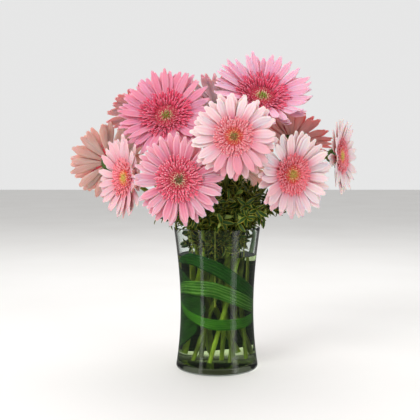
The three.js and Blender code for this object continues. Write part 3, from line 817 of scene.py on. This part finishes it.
def growDisc(head, kind, seed, cupRise):         # rows of short florets, the eye's buds and their dome
    material = materials["floret " + kind]
    reach = head.radius * floretSpread[kind]
    parts = []
    for row, shape in enumerate(floretRows):
        root = shape["Root"] * reach
        lift = shape["Lift"] + (root - headShape["root"]) * math.tan(cupRise + 0.1)
        parts.append(grow(whorlTree, {
            **floretShape, "Count": shape["Count"], "Seed": seed + 7 * row + 3, "Root": root,
            "Tip": root + shape["Length"] * reach, "Lift": lift, "Rise": shape["Rise"] + cupRise,
            "Phase": 0.5 * row}, material))
    eye = {**eyeShape, "Seed": seed, "Radius": headShape["eyeShare"] * head.radius}
    parts.append(grow(eyeTree, eye, materials["eye " + kind]))
    dome = domeProfile(headShape["root"], headShape["domeShare"] * reach, cupRise)
    parts.append(turned("dome", dome, headShape["sides"], material))
    return parts


def growHead(name, look, seed):
    head = Head(name)
    node = f"gerbera_{name}_"
    piece = f"gerbera_{name}."
    cupRise = math.atan2(head.cup, head.radius * 0.8)
    gather(piece + "petals", growPetals(head, look, seed, cupRise), head.placement, node + "ray_florets")
    gather(piece + "disc", growDisc(head, look["florets"], seed, cupRise), head.placement, node + "disc")
    bracts = [grow(whorlTree, {**bractShape, **shape, "Seed": seed + 11 * row, "Phase": 0.3 * row},
                   materials["calyx"]) for row, shape in enumerate(bractRows)]
    bracts.append(turned("cup", calyxCup, headShape["sides"], materials["calyx"]))
    gather(piece + "calyx", bracts, head.placement, node + "calyx")
    line = ringCentres(corners(node + "stem"), 8.0)
    line[-1] = np.array(head.eye + head.axis * headShape["stemTop"])
    tint = (seed * 0.381966) % 1.0
    stem = grow(stalkTree, {**stemShape, "Tint": tint}, materials["stem"], lineMesh([line]))
    gather(piece + "stem", [stem], inMillimetres, node + "stem")
    return head


grownHeads = [growHead(name, look, 1000 + 37 * k) for k, (name, look) in enumerate(heads.items())]
print("heads grown:", len(grownHeads))


# ---- the vase and its water
def wallRadius(height, inside):                  # millimetres from the vase's axis to its wall
    start = Vector((0 if inside else 0.3, 0, height * millimetre))
    towards = Vector((1 if inside else -1, 0, 0))
    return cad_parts["vase"].ray_cast(start, towards)[1].x / millimetre


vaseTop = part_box("vase")[1].z / millimetre
vaseShape = dict(heel=3.5, fillet=6.0, rim=1.4, rings=40, segments=128, waterOverlap=0.15)
quarter = np.linspace(0, math.pi / 2, 7)
probes = np.linspace(6.0, vaseTop - 3.0, 34)
outerFit = np.polyfit(probes, [wallRadius(h, False) for h in probes], 4)
innerProbes = probes[probes > 18.0]
innerFit = np.polyfit(innerProbes, [wallRadius(h, True) for h in innerProbes], 4)
aboveFloor = Vector((0.001, 0.001, 0.1))
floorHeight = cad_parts["vase"].ray_cast(aboveFloor, Vector((0, 0, -1)))[1].z / millimetre
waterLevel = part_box("water")[1].z / millimetre


def insideWall(floor, top, spare):               # from the floor's middle, round the fillet and up the wall
    fillet = vaseShape["fillet"]
    corner = np.polyval(innerFit, floor + fillet) + spare - fillet
    steps = [(0.0, floor), (corner * 0.5, floor)]
    steps += [(corner + fillet * math.sin(a), floor + fillet * (1 - math.cos(a))) for a in quarter]
    heights = np.linspace(floor + fillet, top, vaseShape["rings"])[1:]
    return steps + [(float(np.polyval(innerFit, h)) + spare, float(h)) for h in heights]


def makeVase():
    heel, rim = vaseShape["heel"], vaseShape["rim"]
    base = float(np.polyval(outerFit, heel)) - heel
    outside = [(0.0, 1.2), (base * 0.55, 1.0), (base * 0.8, 0.0)]    # the underside is ground a little hollow
    outside += [(base + heel * math.sin(a), heel * (1 - math.cos(a))) for a in quarter]
    heights = np.linspace(heel, vaseTop - rim, vaseShape["rings"])[1:]
    outside += [(float(np.polyval(outerFit, h)), float(h)) for h in heights]
    inner = insideWall(floorHeight, vaseTop - rim, 0.0)
    middle = (outside[-1][0] + inner[-1][0]) / 2
    half = (outside[-1][0] - inner[-1][0]) / 2
    lip = [(middle + half * math.cos(a), vaseTop - rim + rim * math.sin(a))
           for a in np.linspace(0, math.pi, 9)[1:-1]]
    profile = outside + lip + inner[::-1]
    glass = turned("vase", profile, vaseShape["segments"], materials["glass"])
    piece = gather("vase.glass", [glass], inMillimetres, "vase")
    piece.visible_shadow = False


def makeWater():
    spare = vaseShape["waterOverlap"]
    profile = insideWall(floorHeight - spare, waterLevel, spare)
    edge = profile[-1][0]
    meniscus = [(0.0, 0.8), (1.2, 0.2), (4.0, 0.0), (edge, 0.0)]
    profile += [(edge - inwards, waterLevel + lift) for inwards, lift in meniscus]
    water = turned("water", profile, vaseShape["segments"], materials["water"])
    piece = gather("vase.water", [water], inMillimetres, "water")
    piece.visible_shadow = False


makeVase()
makeWater()
print("vase and water ready")


# ---- strap leaves inside the glass
strapShape = dict(steps=170, across=9, broadAcross=31, thickness=0.7, fold=0.9, ripple=1.2, widen=1.12,
                  broadWiden=1.17, softening=23, clear=0.45)
straps = {                                       # the piece that each leaf makes, and its green
    "strap_leaf_ribbed": ("strapLeaf_ribbed", "ribbed strap"),
    "strap_leaf_upper": ("strapLeaf_upper", "strap"),
    "strap_leaf_lower": ("strapLeaf_lower", "bright strap"),
    "lining_leaf": ("lining.leaf", "lining leaf"),
}


def strapStations(points):                       # where a leaf starts, then its height, half width and depth
    angles = np.arctan2(points[:, 1], points[:, 0])
    ordered = np.sort(angles)
    gaps = np.diff(np.append(ordered, ordered[0] + math.tau))
    first = ordered[(int(np.argmax(gaps)) + 1) % len(ordered)]
    turns = np.round((angles - first) % math.tau, 3)
    turns[turns > math.tau - 0.01] = 0.0
    stations = []
    for turn in np.unique(np.round(turns, 2)):
        near = points[np.abs(turns - turn) < 0.03]
        low, high = near[:, 2].min(), near[:, 2].max()
        inwards = np.polyval(innerFit, near[:, 2]) - np.hypot(near[:, 0], near[:, 1])
        stations.append((turn, (low + high) / 2, (high - low) / 2, inwards.mean()))
    return first, np.array(stations)


def softened(values):                            # a running mean that keeps the ends where they are
    kernel = np.hanning(strapShape["softening"])
    padded = np.pad(values, len(kernel) // 2, mode="reflect", reflect_type="odd")
    return np.convolve(padded, kernel / kernel.sum(), "valid")


def makeStrap(name, seed):
    first, stations = strapStations(corners(name))
    span = stations[-1, 0]
    along = np.linspace(0, 1, strapShape["steps"])
    turn = along * span
    middle, half, inwards = (softened(np.interp(turn, stations[:, 0], stations[:, column]))
                             for column in (1, 2, 3))
    broad = stations[:, 2].max() > 30
    wide = strapShape["broadAcross" if broad else "across"]
    widen = strapShape["broadWiden" if broad else "widen"]
    ends = np.minimum(1, np.minimum(along, 1 - along) * 14 + 0.08)
    half = np.maximum(half, 0.6) * widen * ends
    waves = np.random.default_rng(seed).uniform(0, math.tau, 4)
    wave = np.sin(along * 21 + waves[0]) * 0.5 + np.sin(along * 37 + waves[1]) * 0.3
    grid, marks = [], {"along": [], "across": [], "chance": []}
    for layer in (1, -1):
        for k in range(strapShape["steps"]):
            tilt = 0.25 * math.sin(along[k] * 9 + waves[2])
            for across in np.linspace(-1, 1, wide):
                height = middle[k] + across * half[k] + strapShape["ripple"] * wave[k] * 0.6
                lift = strapShape["fold"] * (1 - abs(across)) + abs(across * tilt) * 1.5
                lift += 0.35 * (1 + wave[k])
                sheet = layer * strapShape["thickness"] / 2 * (1 - 0.6 * across ** 2)
                depth = inwards[k] * 0.75 + lift * 0.8 + sheet
                r = float(np.polyval(innerFit, height)) - max(strapShape["clear"], depth)
                grid.append((r * math.cos(first + turn[k]), r * math.sin(first + turn[k]), height))
                marks["along"].append(turn[k])
                marks["across"].append(across)
                marks["chance"].append(0.3)
    piece, green = straps[name]
    leaf = slab(name, grid, strapShape["steps"], wide, materials[green], marks)
    gather(piece, [leaf], inMillimetres, name)


for k, name in enumerate(straps):
    makeStrap(name, 50 + k)
print("strap leaves ready")


# ---- foliage round the mouth
sprigShape = dict(sideTwigs=50, innerTwigs=36, spread=42.0, clear=5.0, nearest=8.0, outermost=100.0,
                  innerReach=44.0, shoulderOut=53.0, shoulderUp=17.0, leafEnd=11.0, leafTop=6.0, low=8.0,
                  high=82.0, slope=0.42)
twigShape = dict(Radius=1.2, EndRadius=0.6, Sides=8, Spacing=4.0, Rib=0.1, Uneven=0.2)
leafShape = dict(Spacing=2.7, Length=16.0, Width=5.4)
sprigNames = sorted(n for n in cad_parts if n.startswith("foliage_sprig"))


def insideHead(point):                           # true where a petal, calyx or stem top is in the way
    for head in grownHeads:
        offset = Vector(point) - head.eye
        height = offset.dot(head.axis)
        radius = (offset - head.axis * height).length
        bend = head.cup * max(0.0, radius / head.radius - 0.5) * 2
        if radius < head.radius * 0.97 and -sprigShape["clear"] < height - bend < 14:
            return True
        if radius < 15 and -22 < height <= 0:
            return True
    return False


def aimed(angle, distance, height):              # a point that way and that far from the vase's axis
    return np.array([distance * math.cos(angle), distance * math.sin(angle), height])


def sideTwig(start, target, lift):               # an arched twig, ended before it meets a head
    knee = (start + target) / 2 + lift
    kept = []
    for t in np.linspace(0, 1, 7):
        step = start * (1 - t) ** 2 + knee * 2 * t * (1 - t) + target * t ** 2
        if insideHead(step):
            break
        kept.append(step)
    return kept


def makeSprig(name, seed):
    points = corners(name)
    trunk = ringCentres(points[points[:, 2] < vaseTop - 6], 6.0)
    angle = math.atan2(trunk[0][1], trunk[0][0])
    reach = float((points @ aimed(angle, 1.0, 0.0)).max()) - sprigShape["leafEnd"]
    tip = aimed(angle, reach, float(points[:, 2].max()) - sprigShape["leafTop"])
    bend = aimed(angle, sprigShape["shoulderOut"], vaseTop + sprigShape["shoulderUp"])
    main = trunk + [bend, (bend + tip) / 2 + np.array([0, 0, 1.5]), tip]
    chance = np.random.default_rng(seed)
    spread = math.radians(sprigShape["spread"])
    nearest = sprigShape["nearest"]
    twigs = [main[len(trunk):]]
    for k in range(sprigShape["sideTwigs"]):
        swing = spread * chance.uniform(-1, 1)
        distance = chance.uniform(nearest, min(reach + 10, sprigShape["outermost"]))
        highest = sprigShape["high"] - sprigShape["slope"] * distance
        height = chance.uniform(vaseTop + sprigShape["low"], vaseTop + highest)
        target = aimed(angle + swing, distance, height)
        start = np.array([trunk[-1][0], trunk[-1][1], vaseTop - 4 + chance.uniform(0, 10)])
        kept = sideTwig(start, target, np.array([0, 0, chance.uniform(8, 22)]))
        if len(kept) > 3:
            twigs.append(kept)
    for k in range(sprigShape["innerTwigs"]):    # short leafy twigs between the stems, down to the water
        swing = spread * chance.uniform(-1, 1)
        distance = chance.uniform(nearest, sprigShape["innerReach"])
        target = aimed(angle + swing, distance, chance.uniform(waterLevel + 6, vaseTop))
        start = np.array(trunk[-1]) * 0.72
        start[2] = chance.uniform(waterLevel + 4, vaseTop - 10)
        twigs.append([start + (target - start) * t + np.array([0, 0, 5.0]) * math.sin(math.pi * t)
                      for t in np.linspace(0, 1, 6)])
    stalks = grow(stalkTree, twigShape, materials["twig"], lineMesh([main] + twigs[1:]))
    leaves = grow(leafTree, {**leafShape, "Seed": seed}, materials["leaf"], lineMesh(twigs))
    print(name, "twigs", len(twigs), "faces", len(leaves.polygons))
    gather(name.replace("foliage_sprig", "foliage"), [stalks, leaves], inMillimetres, name)


for k, name in enumerate(sprigNames):
    makeSprig(name, 400 + 9 * k)
print("foliage ready")


grassShape = dict(steps=40, across=7, thickness=0.6, fold=1.3 / 3)


def makeGrassBlade():
    points = corners("grass_blade")
    heights = np.unique(points[:, 2])
    rows = [points[points[:, 2] == h] for h in heights]
    spine = np.array([row.mean(0) for row in rows])
    halves = np.array([np.ptp(row[:, 0]) / 2 for row in rows])
    grid, marks = [], {"along": [], "across": [], "chance": []}
    for layer in (1, -1):
        for k, h in enumerate(np.linspace(heights[0], heights[-1], grassShape["steps"])):
            x, y, half = (np.interp(h, heights, values) for values in (spine[:, 0], spine[:, 1], halves))
            for across in np.linspace(-1, 1, grassShape["across"]):
                sheet = layer * grassShape["thickness"] / 2 * (1 - 0.5 * across ** 2)
                grid.append((x + across * half, y + grassShape["fold"] * abs(across) * half + sheet, h))
                marks["along"].append(k / (grassShape["steps"] - 1))
                marks["across"].append(across)
                marks["chance"].append(0.4)
    blade = slab("blade", grid, grassShape["steps"], grassShape["across"], materials["grass"], marks)
    gather("grass.blade", [blade], inMillimetres, "grass_blade")


makeGrassBlade()


# ---- floor, light and camera
studio = dict(floor=(242, 240, 237), floorCloud=(250, 249, 247), floorMirrored=(98, 94, 90), floorHalf=8.0,
              world=(238, 238, 238), worldStrength=0.93, diffuseStrength=0.8, mirroredStrength=0.16)
lamps = {                                        # where each stands, what it faces, its size and its power
    "key": ((-1.3, -1.5, 1.6), (0, 0, 0.28), (1.0, 1.0), 25),
    "fill": ((1.5, -1.2, 1.1), (0, 0, 0.28), (0.9, 0.9), 5),
    "window": ((0.85, -0.69, 0.0), (0, 0, 0.0), (0.2, 0.46), 0.26),
    "windowEdge": ((0.86, -0.7, 0.0), (0, 0, 0.0), (0.42, 0.52), 0.6),
    "top": ((0.1, 0.8, 1.8), (0, 0, 0.3), (1.4, 1.4), 14),
    "strip": ((-0.95, -0.92, 0.0), (0, 0, 0.0), (0.14, 1.5), 0.6),
    "stripEdge": ((-0.96, -0.93, 0.0), (0, 0, 0.0), (0.28, 1.5), 1.3),
}
view = dict(place=(-0.0102, -1.083, 0.294), downward=3.41, across=31.46)


def makeFloor():
    finish = Finish("floor", Roughness=0.6, Specular_IOR_Level=0.3)
    cloud = finish.noise(finish.place(), 3.0, 3.0)
    colour = finish.mix(cloud, tone(*studio["floor"]), tone(*studio["floorCloud"]))
    # painted reflection: where gloss and glass mirror the floor it is painted a dark brown-grey, a dimmer
    # floor than the camera sees
    mirrored = finish.add("ShaderNodeLightPath", None, None, "Glossy Depth").least(1.0)
    colour = finish.mix(mirrored, colour, tone(*studio["floorMirrored"]))
    finish.finish(colour, 0.55 + cloud * 0.1)
    half = studio["floorHalf"]
    corner = [(-half, -half, 0), (half, -half, 0), (half, half, 0), (-half, half, 0)]
    floor = meshOf("floor", corner, [(0, 1, 2, 3)], finish.material)
    plane = bpy.data.objects.new("floor", floor)
    bpy.context.scene.collection.objects.link(plane)
    plane.visible_glossy = False


def areaLight(name, place, target, size, power):
    light = bpy.data.lights.new(name, "AREA")
    light.shape = "RECTANGLE"
    light.size, light.size_y = size
    light.energy = power
    lamp = bpy.data.objects.new(name, light)
    lamp.location = place
    lamp.visible_camera = False
    lamp.rotation_euler = (Vector(target) - Vector(place)).to_track_quat("-Z", "Y").to_euler()
    bpy.context.scene.collection.objects.link(lamp)


makeFloor()
world = bpy.data.worlds.new("studio")
world.use_nodes = True
sky = Tree(world.node_tree)
background = world.node_tree.nodes["Background"]
background.inputs["Color"].default_value = tone(*studio["world"])
rays = sky.add("ShaderNodeLightPath", None, None, "Is Diffuse Ray")
mirrored = rays.output("Glossy Depth").least(1.0)    # what gloss and glass mirror is a dimmer room
strength = studio["worldStrength"] - rays * (studio["worldStrength"] - studio["diffuseStrength"])
strength = strength * (1.0 - mirrored) + mirrored * studio["mirroredStrength"]
sky.links.new(strength.socket, background.inputs["Strength"])
bpy.context.scene.world = world
for name, lamp in lamps.items():
    areaLight(name, *lamp)
bpy.context.scene.view_settings.view_transform = "Standard"

camera = bpy.data.objects.new("camera", bpy.data.cameras.new("camera"))
camera.location = view["place"]
camera.rotation_euler = (math.radians(90 - view["downward"]), 0, 0)
camera.data.angle = math.radians(view["across"])
camera.data.clip_start = 0.01
bpy.context.scene.collection.objects.link(camera)
bpy.context.scene.camera = camera

bpy.context.view_layer.update()
print("scene ready")
